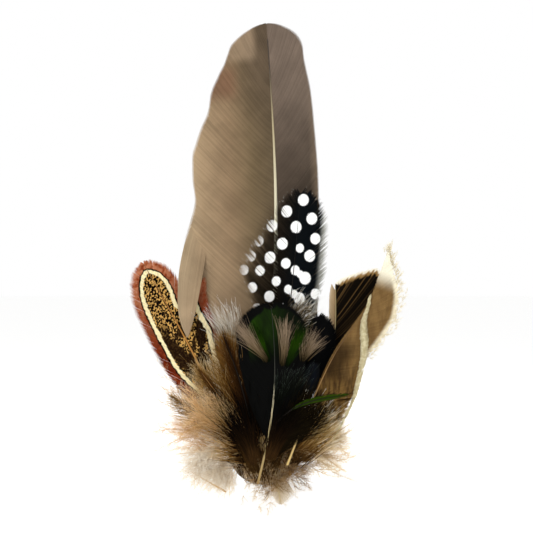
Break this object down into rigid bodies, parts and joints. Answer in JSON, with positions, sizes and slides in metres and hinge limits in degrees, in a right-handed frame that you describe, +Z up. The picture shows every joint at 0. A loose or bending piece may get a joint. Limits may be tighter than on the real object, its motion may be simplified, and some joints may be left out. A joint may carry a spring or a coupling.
{
  "type": "feather hat mount",
  "caption": "Trimmed spray of game-bird feathers glued on an oval felt and leather pad, with a bar brooch pin and roll-over safety collar behind it.",
  "frame": {"origin": "centre of the oval pad, on the leather's outer face, which lies against the hat", "axes": "+Z up along the wing feather, +Y out of the leather's outer face towards the hat, +X to the right of someone who looks at the feathers"},
  "size_m": [0.089, 0.0213, 0.1523],
  "materials": {
    "felt": "pressed wool felt, matt",
    "leather": "vegetable-tanned leather, matt flesh-dyed brown",
    "nickel_plated_steel": "nickel-plated pressed steel",
    "spring_wire": "drawn spring steel wire",
    "thread": "waxed polyester thread",
    "glue": "hot-melt glue, translucent amber",
    "quill_pale": "horn-like keratin, satin",
    "quill_dark": "horn-like dark keratin, satin",
    "wing_vane": "grey-brown flight feather barbs",
    "guinea_vane": "black guinea fowl barbs with white spots",
    "pheasant_vane": "rust, cream and speckled gold pheasant barbs",
    "green_vane": "iridescent green barbs with a black rim",
    "black_vane": "black barbs",
    "blue_vane": "iridescent dark blue barbs",
    "streaked_vane": "dark brown barbs with cream streaks",
    "fawn_vane": "fawn barbs with cream fringes",
    "golden_vane": "golden brown loose barbs",
    "olive_vane": "dark olive brown barbs",
    "down": "loose pale down"
  },
  "bodies": {
    "spray": {"felt_pad": "felt", "leather_back": "leather", "pin_bar": "nickel_plated_steel", "bar_stitches": "thread", "hinge_rivet": "nickel_plated_steel", "glue_bed": "glue", "wing_feather_quill": "quill_pale", "wing_feather_vane": "wing_vane", "wing_feather_flap": "wing_vane", "guinea_feather_quill": "quill_dark", "guinea_feather_vane": "guinea_vane", "pheasant_outer_quill": "quill_pale", "pheasant_outer_vane": "pheasant_vane", "pheasant_inner_quill": "quill_pale", "pheasant_inner_vane": "pheasant_vane", "green_feather_quill": "quill_pale", "green_feather_vane": "green_vane", "black_feather_quill": "quill_dark", "black_feather_vane": "black_vane", "blue_feather_quill": "quill_dark", "blue_feather_vane": "blue_vane", "green_wisp_quill": "quill_pale", "green_wisp_vane": "green_vane", "streaked_feather_quill": "quill_pale", "streaked_feather_vane": "streaked_vane", "curled_feather_quill": "quill_pale", "curled_feather_vane": "fawn_vane", "golden_hackle_quill": "quill_pale", "golden_hackle_vane": "golden_vane", "brown_left_quill": "quill_pale", "brown_left_vane": "golden_vane", "fawn_left_quill": "quill_pale", "fawn_left_vane": "fawn_vane", "olive_right_quill": "quill_pale", "olive_right_vane": "olive_vane", "cream_right_quill": "quill_pale", "cream_right_vane": "fawn_vane", "pale_feather_quill": "quill_pale", "pale_feather_vane": "down", "down_left": "down", "down_left_low": "down", "down_bottom": "down", "down_right": "down"},
    "pin": {"pin_stem": "spring_wire"},
    "collar": {"safety_collar": "nickel_plated_steel"}
  },
  "joints": [
    {"name": "pin_swing", "type": "hinge", "parent": "spray", "child": "pin", "pos_m": [-0.0084, 0.0024, 0.0045], "axis": [0, 0, 1], "range_deg": [0, 105]},
    {"name": "collar_roll", "type": "hinge", "parent": "spray", "child": "collar", "pos_m": [0.008, 0.0024, 0.0045], "axis": [1, 0, 0], "range_deg": [0, 120]}
  ]
}
